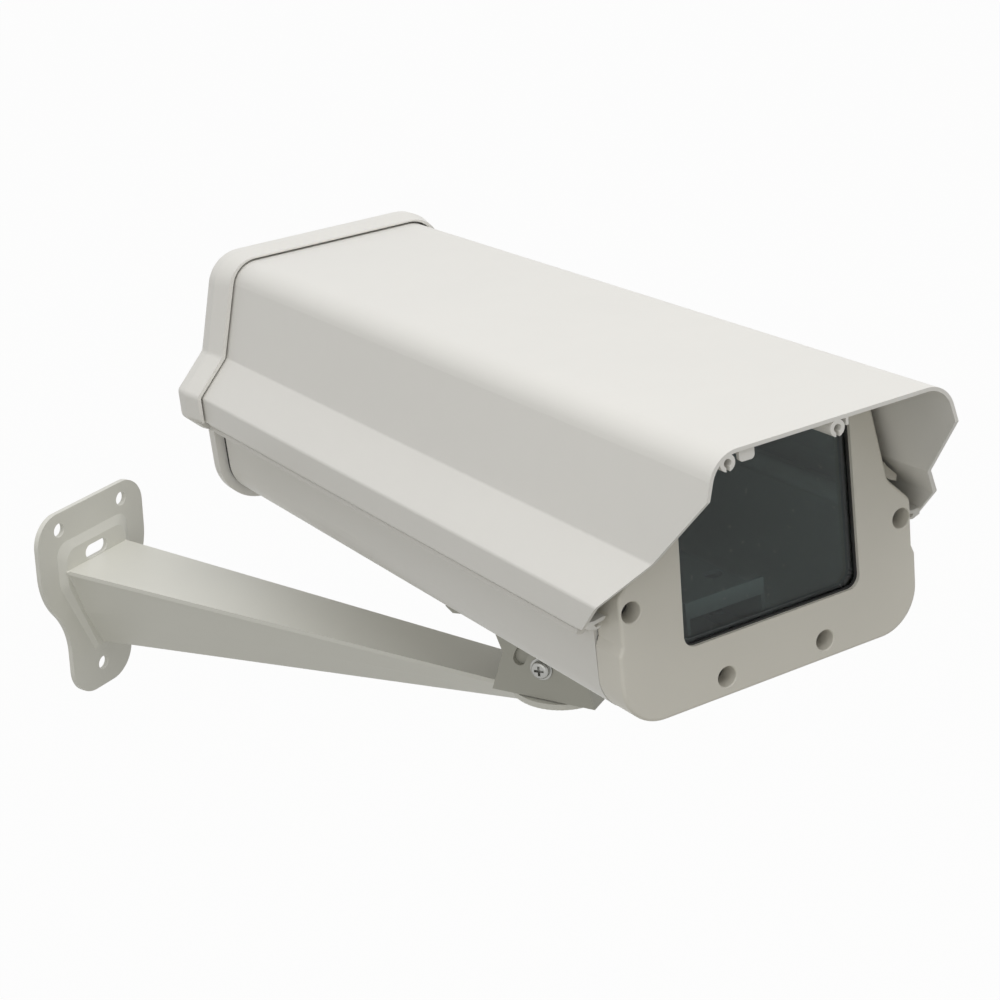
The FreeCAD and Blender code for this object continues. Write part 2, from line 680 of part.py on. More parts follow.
def screw_port(x, z, y0, y1):
    """Round port inside the tray's wall that the front and rear screws enter."""
    port = cyl(SCREW_PORT_R, y1 - y0, (x, y0, z), (0, 1, 0))
    if z < TRAY_TOP / 2:
        return port.fuse(box((x - 1.2, y0, WALL / 2), (x + 1.2, y1, z)))
    s = 1 if x > 0 else -1
    edge = s * (TRAY_HALF_W - WALL / 2)
    post = box((min(edge, edge - s * WALL), y0, TRAY_TOP - 4), (max(edge, edge - s * WALL), y1, z + 1.5))
    web = box((min(x, edge), y0, z - 1.5), (max(x, edge), y1, z + 1.5))
    return port.fuse(post).fuse(web)


def rail_screw_places():
    reach = RAIL_HALF_L - RAIL_SCREW_IN
    return [HEAD_BACK - reach, HEAD_BACK + reach]


def mounting_rail():
    """Bar under the tray that takes the turning screw."""
    y0, y1 = HEAD_BACK - RAIL_HALF_L, HEAD_BACK + RAIL_HALF_L
    rail = box((-RAIL_HALF_W, y0, -RAIL_H), (RAIL_HALF_W, y1, 0))
    upright = [e for e in rail.Edges if abs(e.tangentAt(0).z) > 0.9]
    rail = rail.makeFillet(RAIL_CORNER_R, upright)
    rail = rail.cut(cyl(TURN_SCREW_R + SCREW_GAP, RAIL_H, (0, HEAD_BACK, -RAIL_H - 0.5)))
    for y in rail_screw_places():
        rail = rail.cut(cyl(RAIL_SCREW_R + SCREW_GAP, RAIL_SCREW_LEN + 1.5, (0, y, -RAIL_SCREW_LEN - 1.5)))
    return rail


def rail_screws():
    places = [(0, y, WALL) for y in rail_screw_places()]
    return [pan_head_screw(p, (0, 0, 1), RAIL_SCREW_R, WALL + RAIL_SCREW_LEN, 3.6, 2.2) for p in places]


def gland_places():
    return [(-GLAND_X, GLAND_Z), (GLAND_X, GLAND_Z)]


def gland(x, z):
    """Cable gland on the lower rear cap: thread, hexagon body and clamping nut, open for a cable."""
    y = LOW_CAP_REAR
    back = (0, 1, 0)
    thread_len = CAP_WALL + GLAND_NUT_T + 1.5
    pieces = [cyl(GLAND_THREAD_R, thread_len + 1.0, (x, y - thread_len, z), back)]
    pieces.append(cyl(GLAND_R + 1.0, GLAND_SEAL_T, (x, y, z), back))
    y += GLAND_SEAL_T
    pieces.append(hex_prism(GLAND_R * 1.1, GLAND_BODY, (x, y, z), back))
    y += GLAND_BODY
    pieces.append(cyl(GLAND_R * 0.86, GLAND_NECK, (x, y, z), back))
    y += GLAND_NECK
    pieces.append(hex_prism(GLAND_R * 1.06, GLAND_CLAMP, (x, y, z), back))
    y += GLAND_CLAMP
    end = LOW_CAP_REAR + GLAND_LEN
    pieces.append(Part.makeCone(GLAND_R * 0.9, GLAND_R * 0.62, end - y, V(x, y, z), V(*back)))
    low = LOW_CAP_REAR - thread_len - 1
    return fused(pieces).cut(cyl(CABLE_R, end - low + 1, (x, low, z), back))


def gland_nuts():
    out = []
    y = LOW_CAP_REAR - CAP_WALL
    for x, z in gland_places():
        nut = hex_prism(GLAND_R * 1.1, GLAND_NUT_T, (x, y, z), (0, -1, 0))
        out.append(nut.cut(cyl(GLAND_THREAD_R + SCREW_GAP, GLAND_NUT_T, (x, y, z), (0, -1, 0))))
    return out


# Front frame
def frame_outline(offset):
    """The front frame's outline, moved in by offset."""
    w = TRAY_HALF_W
    foot = w - offset
    hip = foot - FRAME_STEP
    half = [(foot, offset, FRAME_FOOT_R - offset), (foot, FRAME_STEP_LOW), (hip, FRAME_STEP_HIGH)]
    half += [(hip, HIP_Z - offset / 2, 4.0), (w - SHOULDER_IN - offset, SHOULDER_Z_H - offset / 2, 5.0)]
    half += [(w - NECK_IN - offset, NECK_Z_H), (w - CROWN_IN - offset, FRAME_TOP - offset, CROWN_R)]
    return mirrored(half)


def window_outline(grow, r):
    w, low, high = WINDOW_HALF_W + grow, WINDOW_LOW - grow, WINDOW_HIGH + grow
    return [(w, low, r), (w - 1.6, high, r), (-w + 1.6, high, r), (-w, low, r)]


def front_frame():
    frame = slab(frame_outline(0), 0, FRAME_T)
    rim = [e for e in frame.Edges if e.BoundBox.YMax < 0.01]
    frame = frame.makeFillet(FRAME_RIM_R, rim)
    frame = frame.cut(slab(window_outline(0, WINDOW_R), -1, GLASS_IN + 1))
    frame = frame.cut(slab(window_outline(GLASS_LAP, WINDOW_R + 1), GLASS_IN, FRAME_T + 1))
    x1 = TRAY_HALF_W - RECESS_IN
    x0 = x1 - RECESS_W
    back = [(x1, RECESS_LOW, 4), (x1, RECESS_HIGH, 2), (x0, RECESS_HIGH, 2), (x0, RECESS_LOW, 2)]
    for s in (-1, 1):
        pocket = [(s * p[0],) + p[1:] for p in back]
        frame = frame.cut(slab(pocket, FRAME_T - RECESS_DEPTH, FRAME_T + 1))
    for x, z in frame_screw_places():
        frame = frame.cut(cyl(WELL_R, WELL_DEPTH + 1, (x, -1, z), (0, 1, 0)))
        frame = frame.cut(Part.makeCone(WELL_R + WELL_EDGE, WELL_R, WELL_EDGE, V(x, 0, z), V(0, 1, 0)))
        frame = frame.cut(cyl(FRAME_SCREW_R + SCREW_GAP, FRAME_T + 2, (x, 0, z), (0, 1, 0)))
    return frame.removeSplitter()


def frame_gasket():
    y0, y1 = FRAME_T, FRAME_T + FRAME_GASKET
    half = tray_half(0.8, SIDE_SCREW_Z + 3)
    outer = slab(mirrored(half), y0, y1)
    hole = slab(mirrored(tray_half(WALL + 2.5, SIDE_SCREW_Z + 4)), y0 - 1, y1 + 1)
    out = outer.cut(hole)
    for x, z in frame_screw_places():
        out = out.fuse(cyl(SCREW_PORT_R, y1 - y0, (x, y0, z), (0, 1, 0)))
    out = out.common(slab(frame_outline(0.3), y0 - 1, y1 + 1))
    for x, z in frame_screw_places():
        out = out.cut(cyl(FRAME_SCREW_R + SCREW_GAP, 4, (x, y0 - 1, z), (0, 1, 0)))
    return out.removeSplitter()


def cover_half(offset):
    """Right half of the cover's outline, moved in by offset, from the skirt's foot to the top."""
    slope = (FOLD_X - COVER_CORNER_X) / (COVER_TOP - FOLD_Z)
    d = offset
    top = COVER_TOP - d
    corner = COVER_CORNER_X + slope * d - d * math.hypot(1, slope)
    fold_d = d * math.tan(0.5 * (math.atan2(SKIRT_X - FOLD_X, FOLD_Z - SKIRT_TOP) - math.atan(slope)))
    foot = SKIRT_LOW if d == 0 else SKIRT_LOW - 5
    half = [(SKIRT_X - d, foot), (SKIRT_X - d, SKIRT_TOP - 0.45 * d, 2.0)]
    half += [(FOLD_X - d, FOLD_Z - d * 0.5 + fold_d, 2.0), (corner, top, max(COVER_CORNER_R - d, 1.0))]
    return half


def front_seal():
    """Rubber fill between the front frame's shoulders and the cover, clear of the opening cover."""
    y0, y1 = FRAME_T - 5.0, FRAME_T - 1.0
    outer = slab(mirrored(cover_half(COVER_WALL + LOOSE)), y0, y1)
    inner = slab(frame_outline(-0.05), y0 - 1, y1 + 1)
    floor = box((-FAR, y0 - 1, -5), (FAR, y1 + 1, TRAY_TOP + 9.0))
    fold = math.hypot(FOLD_X - COVER_WALL + HINGE_X, FOLD_Z - HINGE_Z)
    reach = cyl(fold - OPEN_GAP, y1 - y0, (-HINGE_X, y0, HINGE_Z), (0, 1, 0))
    left = box((-FAR, y0 - 1, PORT_Z - 7), (LEFT_PORT_X + 4.5, y1 + 1, COVER_TOP))
    middle = box((CENTRE_PORT_X - 7, y0 - 1, FRAME_TOP - 3), (RIB_X + 2, y1 + 1, COVER_TOP))
    seal = outer.cut(inner).cut(floor).common(reach).cut(left).cut(middle)
    return Part.makeCompound([s for s in seal.removeSplitter().Solids if s.Volume > 5])


def window_glass():
    y0 = GLASS_IN + SEAL_T
    return slab(window_outline(GLASS_LAP - LOOSE, WINDOW_R + 1), y0, y0 + GLASS_T)


def window_seal():
    """Rubber frame between the glass and the lip of the front frame."""
    outer = slab(window_outline(GLASS_LAP - 0.1, WINDOW_R + 1), GLASS_IN, GLASS_IN + SEAL_T)
    return outer.cut(slab(window_outline(-SEAL_SHOWS, WINDOW_R - 1), GLASS_IN - 1, GLASS_IN + SEAL_T + 1))


def window_clamp():
    """Sheet frame behind the glass that holds it against its seal."""
    y0 = GLASS_IN + SEAL_T + GLASS_T
    outer = slab(window_outline(GLASS_LAP - 0.2, WINDOW_R + 1), y0, y0 + 1.5)
    return outer.cut(slab(window_outline(-1.0, WINDOW_R), y0 - 1, y0 + 3))


def frame_screws():
    length = FRAME_T - WELL_DEPTH + FRAME_GASKET + SCREW_GRIP
    seats = [(x, WELL_DEPTH, z) for x, z in frame_screw_places()]
    return [pan_head_screw(p, (0, -1, 0), FRAME_SCREW_R, length, FRAME_HEAD_R, FRAME_HEAD_H) for p in seats]


# Camera sled inside the tray
def camera_sled():
    w, z, t = SLED_HALF_W, SLED_Z, SLED_T
    deck = box((-w, SLED_FRONT, z - t), (w, SLED_REAR, z))
    lip = box((-w, SLED_FRONT, z - t), (w, SLED_FRONT + t, z + SLED_LIP))
    legs = []
    for s in (-1, 1):
        x = s * w
        legs.append(box((min(x, x - s * t), SLED_FRONT, WALL), (max(x, x - s * t), SLED_REAR, z)))
        foot = (x - s * t, x - s * SLED_FOOT)
        legs.append(box((min(foot), SLED_FRONT, WALL), (max(foot), SLED_REAR, WALL + t)))
    sled = fused([deck, lip] + legs)
    half, y0, y1 = SLED_SLOT_W / 2, SLED_FRONT + SLED_SLOT_FRONT, SLED_REAR - SLED_SLOT_REAR
    sled = sled.cut(box((-half, y0, z - t - 1), (half, y1, z + 1)))
    for x, y in sled_screw_places():
        sled = sled.cut(cyl(SLED_SCREW_R + SCREW_GAP, 8, (x, y, WALL - 1)))
        sled = sled.cut(cyl(SLED_TOOL_R, 8, (x, y, z - 4)))
    return sled.removeSplitter()


def sled_screw_places():
    x = SLED_HALF_W - SLED_SCREW_IN
    y0, y1 = SLED_FRONT + SLED_SCREW_END, SLED_REAR - SLED_SCREW_END
    return [(-x, y0), (x, y0), (-x, y1), (x, y1)]


def sled_screws():
    top = WALL + SLED_T
    seats = [(x, y, top) for x, y in sled_screw_places()]
    return [pan_head_screw(p, (0, 0, 1), SLED_SCREW_R, top, 2.8, 1.8) for p in seats]


# The camera's screw stands in the sled's slot, with its knob below the deck.
def camera_screw():
    y = CAMERA_SCREW_Y
    z = SLED_Z - SLED_T
    low = z - KNOB_H
    knob = cyl(KNOB_R, KNOB_H, (0, y, low))
    grip = KNOB_R + 0.6
    for i in range(12):
        a = math.radians(30 * i)
        knob = knob.cut(cyl(1.1, KNOB_H, (grip * math.cos(a), y + grip * math.sin(a), low)))
    return knob.fuse(cyl(CAMERA_SCREW_R, 12.0, (0, y, z - 1.0))).removeSplitter()


# Rear end
def upper_cap_half(proud):
    """Right half of the upper rear cap's outline, standing proud of the cover."""
    skirt, fold, top = cover_half(0)[1:]
    corner = (top[0] + proud, top[1] + proud * 0.65, COVER_CORNER_R + proud)
    bend = (fold[0] + proud, fold[1] + proud * 0.35, 4.0)
    hip = (skirt[0] + proud, skirt[1] + proud * 0.4, 4.0)
    knee = (skirt[0] + proud, SKIRT_LOW + 1.0, 3.0)
    return [(skirt[0] + proud - CAP_FOOT_IN, CAP_FOOT), knee, hip, bend, corner]


def upper_cap_hollow(y0, y1, inset):
    """Hollow of the upper cap, open below."""
    half = upper_cap_half(CAP_PROUD - inset)
    inner = [(p[0], p[1], max(p[2] - 2.5, 1.0)) for p in half[2:]]
    return slab(mirrored([(half[1][0] - 6.5, CAP_FOOT - 4), (half[1][0], CAP_FOOT + 4)] + inner), y0, y1)


def rear_screw_places():
    return [(LEFT_PORT_X, PORT_Z), (CENTRE_PORT_X, PORT_Z)]


def rear_cap_upper():
    mid = CAP_FRONT + CAP_TAPER
    front = loop(mirrored(upper_cap_half(CAP_FRONT_PROUD)), CAP_FRONT)
    rear = loop(mirrored(upper_cap_half(CAP_PROUD)), mid)
    band = Part.makeLoft([front, rear], True, True)
    bowl = slab(mirrored(upper_cap_half(CAP_PROUD)), mid, CAP_REAR)
    rim = [e for e in bowl.Edges if e.BoundBox.YMin > CAP_REAR - 0.01 and e.CenterOfMass.z > CAP_FOOT + 1]
    bowl = bowl.makeFillet(CAP_EDGE_R, rim)
    seat = BODY_REAR + REAR_GASKET_T
    pocket = slab(mirrored(cover_half(-CAP_GAP)), CAP_FRONT - 1, seat)
    foot = box((-FAR, CAP_FRONT - 1, CAP_FOOT - 5), (FAR, seat, SKIRT_LOW))
    hollow = upper_cap_hollow(seat - 1, CAP_REAR - CAP_WALL, CAP_WALL + CAP_PROUD + 1.5)
    cap = band.fuse(bowl).cut(pocket).cut(foot).cut(hollow)
    for x, z in rear_screw_places():
        cap = cap.fuse(cyl(PORT_R + 0.6, CAP_REAR - CAP_WALL - seat, (x, seat, z), (0, 1, 0)))
    for x, z in rear_screw_places():
        cap = cap.cut(cyl(REAR_SCREW_R + SCREW_GAP, CAP_REAR - seat + 2, (x, seat - 1, z), (0, 1, 0)))
    return cap.removeSplitter()


def rear_gasket_upper():
    """Seal between the cover's rear edge and the upper cap, wider at the screws."""
    y0, y1 = BODY_REAR, BODY_REAR + REAR_GASKET_T
    outer = slab(mirrored(cover_half(0.2)), y0, y1)
    out = outer.cut(slab(mirrored(cover_half(COVER_WALL + 0.8)), y0 - 1, y1 + 1))
    out = out.cut(box((-FAR, y0 - 1, 0), (FAR, y1 + 1, SKIRT_LOW + 3)))
    for x, z in rear_screw_places():
        out = out.fuse(cyl(PORT_R, REAR_GASKET_T, (x, y0, z), (0, 1, 0)))
    for x, z in rear_screw_places():
        out = out.cut(cyl(REAR_SCREW_R + SCREW_GAP, 4, (x, y0 - 1, z), (0, 1, 0)))
    return out.removeSplitter()


def rear_screws_upper():
    length = CAP_REAR - BODY_REAR + SCREW_GRIP
    seats = [(x, CAP_REAR, z) for x, z in rear_screw_places()]
    return [pan_head_screw(p, (0, 1, 0), REAR_SCREW_R, length, 2.9, 1.9) for p in seats]


def lower_cap_outline():
    w = TRAY_HALF_W + LOW_CAP_PROUD
    return mirrored([(w - 0.6, -LOW_CAP_PROUD, TRAY_CORNER_R + LOW_CAP_PROUD), (w, LOW_CAP_TOP)])


def rear_cap_lower():
    y0 = BODY_REAR + REAR_GASKET_T
    block = slab(lower_cap_outline(), y0, LOW_CAP_REAR)
    rear = [e for e in block.Edges if e.BoundBox.YMin > LOW_CAP_REAR - 0.01]
    block = block.makeFillet(LOW_CAP_EDGE_R, [e for e in rear if e.CenterOfMass.z < LOW_CAP_TOP - 1])
    cap = block.cut(slab(mirrored(tray_half(WALL, LOW_CAP_TOP + 5)), y0 - 1, LOW_CAP_REAR - CAP_WALL))
    for x, z in low_screw_places():
        cap = cap.fuse(cyl(SCREW_PORT_R, LOW_CAP_REAR - y0 - 1, (x, y0, z), (0, 1, 0)))
    deep = LOW_CAP_REAR - y0 + 2
    for x, z in low_screw_places():
        cap = cap.cut(cyl(FRAME_SCREW_R + SCREW_GAP, deep, (x, y0 - 1, z), (0, 1, 0)))
    for x, z in gland_places():
        cap = cap.cut(cyl(GLAND_THREAD_R + SCREW_GAP, deep, (x, y0 - 1, z), (0, 1, 0)))
    return cap.removeSplitter()


def rear_gasket_lower():
    y0, y1 = BODY_REAR, BODY_REAR + REAR_GASKET_T
    out = slab(mirrored(tray_half(0.3, LOW_CAP_TOP)), y0, y1)
    out = out.cut(slab(mirrored(tray_half(WALL + 0.8, LOW_CAP_TOP + 2)), y0 - 1, y1 + 1))
    for x, z in low_screw_places():
        out = out.fuse(cyl(SCREW_PORT_R, REAR_GASKET_T, (x, y0, z), (0, 1, 0)))
        out = out.fuse(box((x - 1.2, y0, WALL / 2), (x + 1.2, y1, z)))
    for x, z in low_screw_places():
        out = out.cut(cyl(FRAME_SCREW_R + SCREW_GAP, 4, (x, y0 - 1, z), (0, 1, 0)))
    return out.removeSplitter()


def rear_screws_lower():
    length = LOW_CAP_REAR - BODY_REAR + SCREW_GRIP
    seats = [(x, LOW_CAP_REAR, z) for x, z in low_screw_places()]
    return [pan_head_screw(p, (0, 1, 0), FRAME_SCREW_R, length, 3.5, 2.2) for p in seats]


# Cover
def hood_cut():
    """Wedge that gives the hood its slanting sides."""
    far = 2 * HOOD
    slant = -HOOD + HOOD_CUT_Z * HOOD_CUT_RATE
    pts = [V(-FAR, -far, HOOD_CUT_Z), V(-FAR, -HOOD, HOOD_CUT_Z), V(-FAR, slant, 0), V(-FAR, -far, 0)]
    return Part.Face(Part.makePolygon(pts + pts[:1])).extrude(V(2 * FAR, 0, 0))


def top_cover():
    y0, y1 = -HOOD, BODY_REAR
    back = tray_front()
    low, t = SKIRT_LOW, SKIRT_RETURN_T
    cover = slab(mirrored(cover_half(0)), y0, y1)
    cover = cover.cut(slab(mirrored(cover_half(COVER_WALL)), y0 - 1, y1 + 1))
    left = box((-SKIRT_X, back, low), (-HINGE_X - 1.6, y1, low + t))
    ends = [(-HINGE_X - 2.6, low + 0.4), (-HINGE_X - 1.4, low + t), (-HINGE_X + 0.2, HINGE_Z + 0.6)]
    ends.append((-HINGE_X - 0.8, HINGE_Z - 0.2))
    neck = slab(ends, back, y1)
    bead = cyl(BEAD_R, y1 - back, (-HINGE_X, back, HINGE_Z), (0, 1, 0))
    right = box((TRAY_HALF_W + 0.2, back, low), (SKIRT_X, y1, low + t))
    inside = COVER_TOP - COVER_WALL
    rib = box((RIB_X - RIB_T / 2, y0, inside - RIB_H), (RIB_X + RIB_T / 2, y1, inside + 0.5))
    ports = [cyl(PORT_R, y1 - y0, (x, y0, z), (0, 1, 0)) for x, z in rear_screw_places()]
    cover = fused([cover, left, neck, bead, right, rib] + ports)
    for x, z in rear_screw_places():
        cover = cover.cut(cyl(PORT_BORE_R, y1 - y0 + 2, (x, y0 - 1, z), (0, 1, 0)))
        cover = cover.cut(box((x - 0.7, y0 - 1, z - PORT_R - 1), (x + 0.7, y1 + 1, z)))
    for y in closing_places():
        cover = cover.cut(cyl(CLOSING_R + SCREW_GAP, t + 2, (CLOSING_X, y, low - 1)))
    return cover.cut(hood_cut()).removeSplitter()


def cover_stop():
    """Bent tab, spot welded under the hood, with a short leg that hangs just behind its front edge."""
    x0, x1 = TAB_X - TAB_W / 2, TAB_X + TAB_W / 2
    top = COVER_TOP - COVER_WALL
    y0 = TAB_BACK - HOOD
    low = top - TAB_DROP
    leg = slab([(x0, low, 1.5), (x1, low, 1.5), (x1, top), (x0, top)], y0, y0 + TAB_T)
    foot = box((x0, y0, top - TAB_T), (x1, y0 + TAB_FOOT, top))
    return leg.fuse(foot).removeSplitter()


def closing_places():
    return [60.0, 170.0, 280.0]


def closing_screws():
    """Captive screws under the right edge, drawn down so that the cover can open."""
    low = TRAY_TOP - FLANGE_T - CLOSING_DROP
    length = CLOSING_DROP + FLANGE_T + CLIP_T + 0.8
    seats = [(CLOSING_X, y, low) for y in closing_places()]
    return [pan_head_screw(p, (0, 0, -1), CLOSING_R, length, 2.6, 1.8) for p in seats]


def closing_clips():
    """Rings that keep the closing screws in the tray's flange."""
    places = [(CLOSING_X, y, TRAY_TOP) for y in closing_places()]
    return [ring(CLIP_R, CLOSING_R + SCREW_GAP, CLIP_T, p) for p in places]


def cover_seal():
    """Sealing strip on the tray's right flange, under the cover's lip."""
    x = TRAY_HALF_W - WALL / 2
    return box((x, tray_front() + 1, TRAY_TOP), (x + STRIP_W, BODY_REAR - 1, SKIRT_LOW))


def build():
    pivot_screws, pivot_washers, pivot_nuts = side_stack(0, 0, TILT_SCREW_R, TILT_WASHER_R, TILT_HEAD_R)
    a = math.radians(LOCK_ANGLE)
    y, z = LOCK_ARC_R * math.cos(a), LOCK_ARC_R * math.sin(a)
    lock_screws, lock_washers, lock_nuts = side_stack(y, z, LOCK_SCREW_R, LOCK_WASHER_R, LOCK_HEAD_R)
    return {
        "wall_plate": (FreeCAD.Placement(), [wall_plate()]),
        "bracket_arm": (FreeCAD.Placement(), [bracket_arm()]),
        "pan_bolt": (HEAD, [pan_bolt()]),
        "pan_nut": (HEAD, [pan_nut()]),
        "pan_washer": (HEAD, [pan_washer()]),
        "pan_friction_disc": (HEAD, [pan_friction_disc()]),
        "lower_yoke": (HEAD, [lower_yoke()]),
        "upper_yoke": (CRADLE, [upper_yoke()]),
        "tilt_screws": (CRADLE, pivot_screws),
        "tilt_washers": (CRADLE, pivot_washers),
        "tilt_nuts": (CRADLE, pivot_nuts),
        "lock_screws": (CRADLE, lock_screws),
        "lock_washers": (CRADLE, lock_washers),
        "lock_nuts": (CRADLE, lock_nuts),
        "mount_screw": (CRADLE, [mount_screw()]),
        "mount_washer": (CRADLE, [mount_washer()]),
        "mounting_rail": (BODY, [mounting_rail()]),
        "rail_screws": (BODY, rail_screws()),
        "lower_tray": (BODY, [lower_tray()]),
        "front_frame": (BODY, [front_frame()]),
        "frame_gasket": (BODY, [frame_gasket()]),
        "frame_screws": (BODY, frame_screws()),
        "front_seal": (BODY, [front_seal()]),
        "window_glass": (BODY, [window_glass()]),
        "window_seal": (BODY, [window_seal()]),
        "window_clamp": (BODY, [window_clamp()]),
        "camera_sled": (BODY, [camera_sled()]),
        "sled_screws": (BODY, sled_screws()),
        "camera_screw": (BODY, [camera_screw()]),
        "cable_glands": (BODY, [gland(x, z) for x, z in gland_places()]),
        "gland_nuts": (BODY, gland_nuts()),
        "rear_cap_lower": (BODY, [rear_cap_lower()]),
        "rear_gasket_lower": (BODY, [rear_gasket_lower()]),
        "rear_screws_lower": (BODY, rear_screws_lower()),
        "cover_seal": (BODY, [cover_seal()]),
        "closing_screws": (BODY, closing_screws()),
        "closing_clips": (BODY, closing_clips()),
        "top_cover": (BODY, [top_cover()]),
        "cover_stop": (BODY, [cover_stop()]),
        "rear_cap_upper": (BODY, [rear_cap_upper()]),
        "rear_gasket_upper": (BODY, [rear_gasket_upper()]),
        "rear_screws_upper": (BODY, rear_screws_upper()),
    }


os.makedirs("parts", exist_ok=True)
for name, (place, solids) in build().items():
    placed = []
    for solid in solids:
        piece = solid.copy()
        piece.Placement = place.multiply(piece.Placement)
        placed.append(piece)
    shape = placed[0] if len(placed) == 1 else Part.makeCompound(placed)
    shape.exportStep("parts/" + name + ".step")
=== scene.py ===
import json
import math

import bpy
from mathutils import Matrix, Vector


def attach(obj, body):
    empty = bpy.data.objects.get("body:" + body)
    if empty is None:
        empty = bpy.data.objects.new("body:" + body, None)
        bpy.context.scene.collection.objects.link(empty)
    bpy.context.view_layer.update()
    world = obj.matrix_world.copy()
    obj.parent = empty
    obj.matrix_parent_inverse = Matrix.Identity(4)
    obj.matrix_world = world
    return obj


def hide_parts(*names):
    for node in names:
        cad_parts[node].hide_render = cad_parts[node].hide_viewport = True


bl_info = {
    "name": "Camera Housing Dresser",
    "version": (1, 0, 0),
    "blender": (4, 5, 0),
    "location": "3D View > Sidebar > Housing",
    "description": "Coats, welds, glands and light for an outdoor camera housing on a wall arm",
    "category": "Object",
}

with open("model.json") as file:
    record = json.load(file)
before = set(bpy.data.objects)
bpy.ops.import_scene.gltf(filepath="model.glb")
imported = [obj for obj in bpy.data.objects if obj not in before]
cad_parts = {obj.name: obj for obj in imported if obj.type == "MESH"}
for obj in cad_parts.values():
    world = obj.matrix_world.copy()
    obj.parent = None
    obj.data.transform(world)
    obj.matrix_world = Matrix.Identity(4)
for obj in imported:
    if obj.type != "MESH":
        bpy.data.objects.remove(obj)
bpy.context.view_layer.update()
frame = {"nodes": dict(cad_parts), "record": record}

MM = 0.001

# Places taken over from the part, in millimetres and degrees
PIVOT = Vector((0.0, -261.0, -6.0))
PAN_REST, TILT_REST, TURN_REST = 6.0, -5.7, -33.2
HEAD_BACK, TRAY_ABOVE_PIVOT = 152.9, 41.1
PLATE_FACE, ARM_TOP, ARM_KEEL, ARM_ROOT_HALF_W = -4.5, -21.0, -66.5, 21.0
GLAND_X, GLAND_Z, LOW_CAP_REAR = 38.0, 18.0, 337.0


def turn(angle, axis):
    return Matrix.Rotation(math.radians(angle), 4, axis)


# Where the cradle and the housing's own X, Y and Z lie at rest
CRADLE = Matrix.Translation(PIVOT * MM) @ turn(PAN_REST, "Z") @ turn(TILT_REST, "X")
BODY = CRADLE @ turn(TURN_REST, "Z") @ Matrix.Translation(Vector((0, -HEAD_BACK, TRAY_ABOVE_PIVOT)) * MM)


# Sizes and colours a user may change
class BodyCoatSettings(bpy.types.PropertyGroup):
    cover_colour: bpy.props.FloatVectorProperty(
        name="Cover colour", description="Satin powder coat of the cover, tray and caps",
        subtype="COLOR", size=3, min=0, max=1, default=(0.800, 0.785, 0.742))
    bracket_colour: bpy.props.FloatVectorProperty(
        name="Bracket colour", description="Coat of the wall plate, arm and head",
        subtype="COLOR", size=3, min=0, max=1, default=(0.745, 0.738, 0.675))
    # Painted shade: the yokes' coat is the bracket's coat made darker for the shadow of the housing above
    # the head.
    head_shaded_colour: bpy.props.FloatVectorProperty(
        name="Head colour", description="Coat of the two yokes of the pan and tilt head",
        subtype="COLOR", size=3, min=0, max=1, default=(0.460, 0.455, 0.400))
    # Partly painted shade: this coat is darker and warmer than the cover's, and the darkening stands for the
    # shade under the sunshade over the window.
    front_tint_and_shade_colour: bpy.props.FloatVectorProperty(
        name="Front frame colour", description="Coat of the cast frame round the window",
        subtype="COLOR", size=3, min=0, max=1, default=(0.745, 0.718, 0.640))
    grain_size: bpy.props.FloatProperty(
        name="Grain size", description="Width of the powder coat's bumps",
        default=0.9 * MM, min=0.0001, subtype="DISTANCE", unit="LENGTH")
    grain_height: bpy.props.FloatProperty(
        name="Grain height", description="Height of the powder coat's bumps",
        default=0.02 * MM, min=0, subtype="DISTANCE", unit="LENGTH")
    gloss: bpy.props.FloatProperty(
        name="Roughness", description="Roughness of the coat", default=0.42, min=0, max=1)


class WindowSettings(bpy.types.PropertyGroup):
    tint: bpy.props.FloatVectorProperty(
        name="Glass tint", description="Colour the window gives to what is behind it",
        subtype="COLOR", size=3, min=0, max=1, default=(0.42, 0.50, 0.50))
    dust: bpy.props.FloatProperty(
        name="Dust", description="How much fine dust lies on the glass", default=0.5, min=0, max=1)


class WeldSettings(bpy.types.PropertyGroup):
    bead: bpy.props.FloatProperty(
        name="Bead radius", description="Radius of the weld where the arm meets the plate",
        default=1.1 * MM, min=0.0002, subtype="DISTANCE", unit="LENGTH")


class LightSettings(bpy.types.PropertyGroup):
    sky: bpy.props.FloatProperty(
        name="Even light", description="Strength of the light from all round", default=0.48, min=0)
    top: bpy.props.FloatProperty(
        name="Top lamp", description="Power of the large lamp overhead", default=16.5, min=0, unit="POWER")
    front: bpy.props.FloatProperty(
        name="Front lamp", description="Power of the soft lamp at the front left",
        default=2.7, min=0, unit="POWER")
    floor_drop: bpy.props.FloatProperty(
        name="Floor drop", description="Height of the arm's bracket above the floor",
        default=0.55, min=0.1, subtype="DISTANCE", unit="LENGTH")


# Shader maths as plain expressions
class Sock:
    """A shader socket or a number, with the operators used here."""

    def __init__(self, shop, value):
        self.shop, self.value = shop, value

    def _do(self, operation, *others):
        return self.shop.add("ShaderNodeMath", {"operation": operation}, [self, *others])

    def __add__(self, other):
        return self._do("ADD", other)

    __radd__ = __add__

    def __mul__(self, other):
        return self._do("MULTIPLY", other)

    __rmul__ = __mul__

    def __sub__(self, other):
        return self._do("SUBTRACT", other)

    def __rsub__(self, other):
        return Sock(self.shop, other)._do("SUBTRACT", self)

    def smooth(self, low, high):
        """0 below the low value, 1 above the high one and a soft step between."""
        return self.shop.add("ShaderNodeMapRange", {"interpolation_type": "SMOOTHSTEP"}, [self, low, high])


def colour4(c):
    return (c[0], c[1], c[2], 1.0)


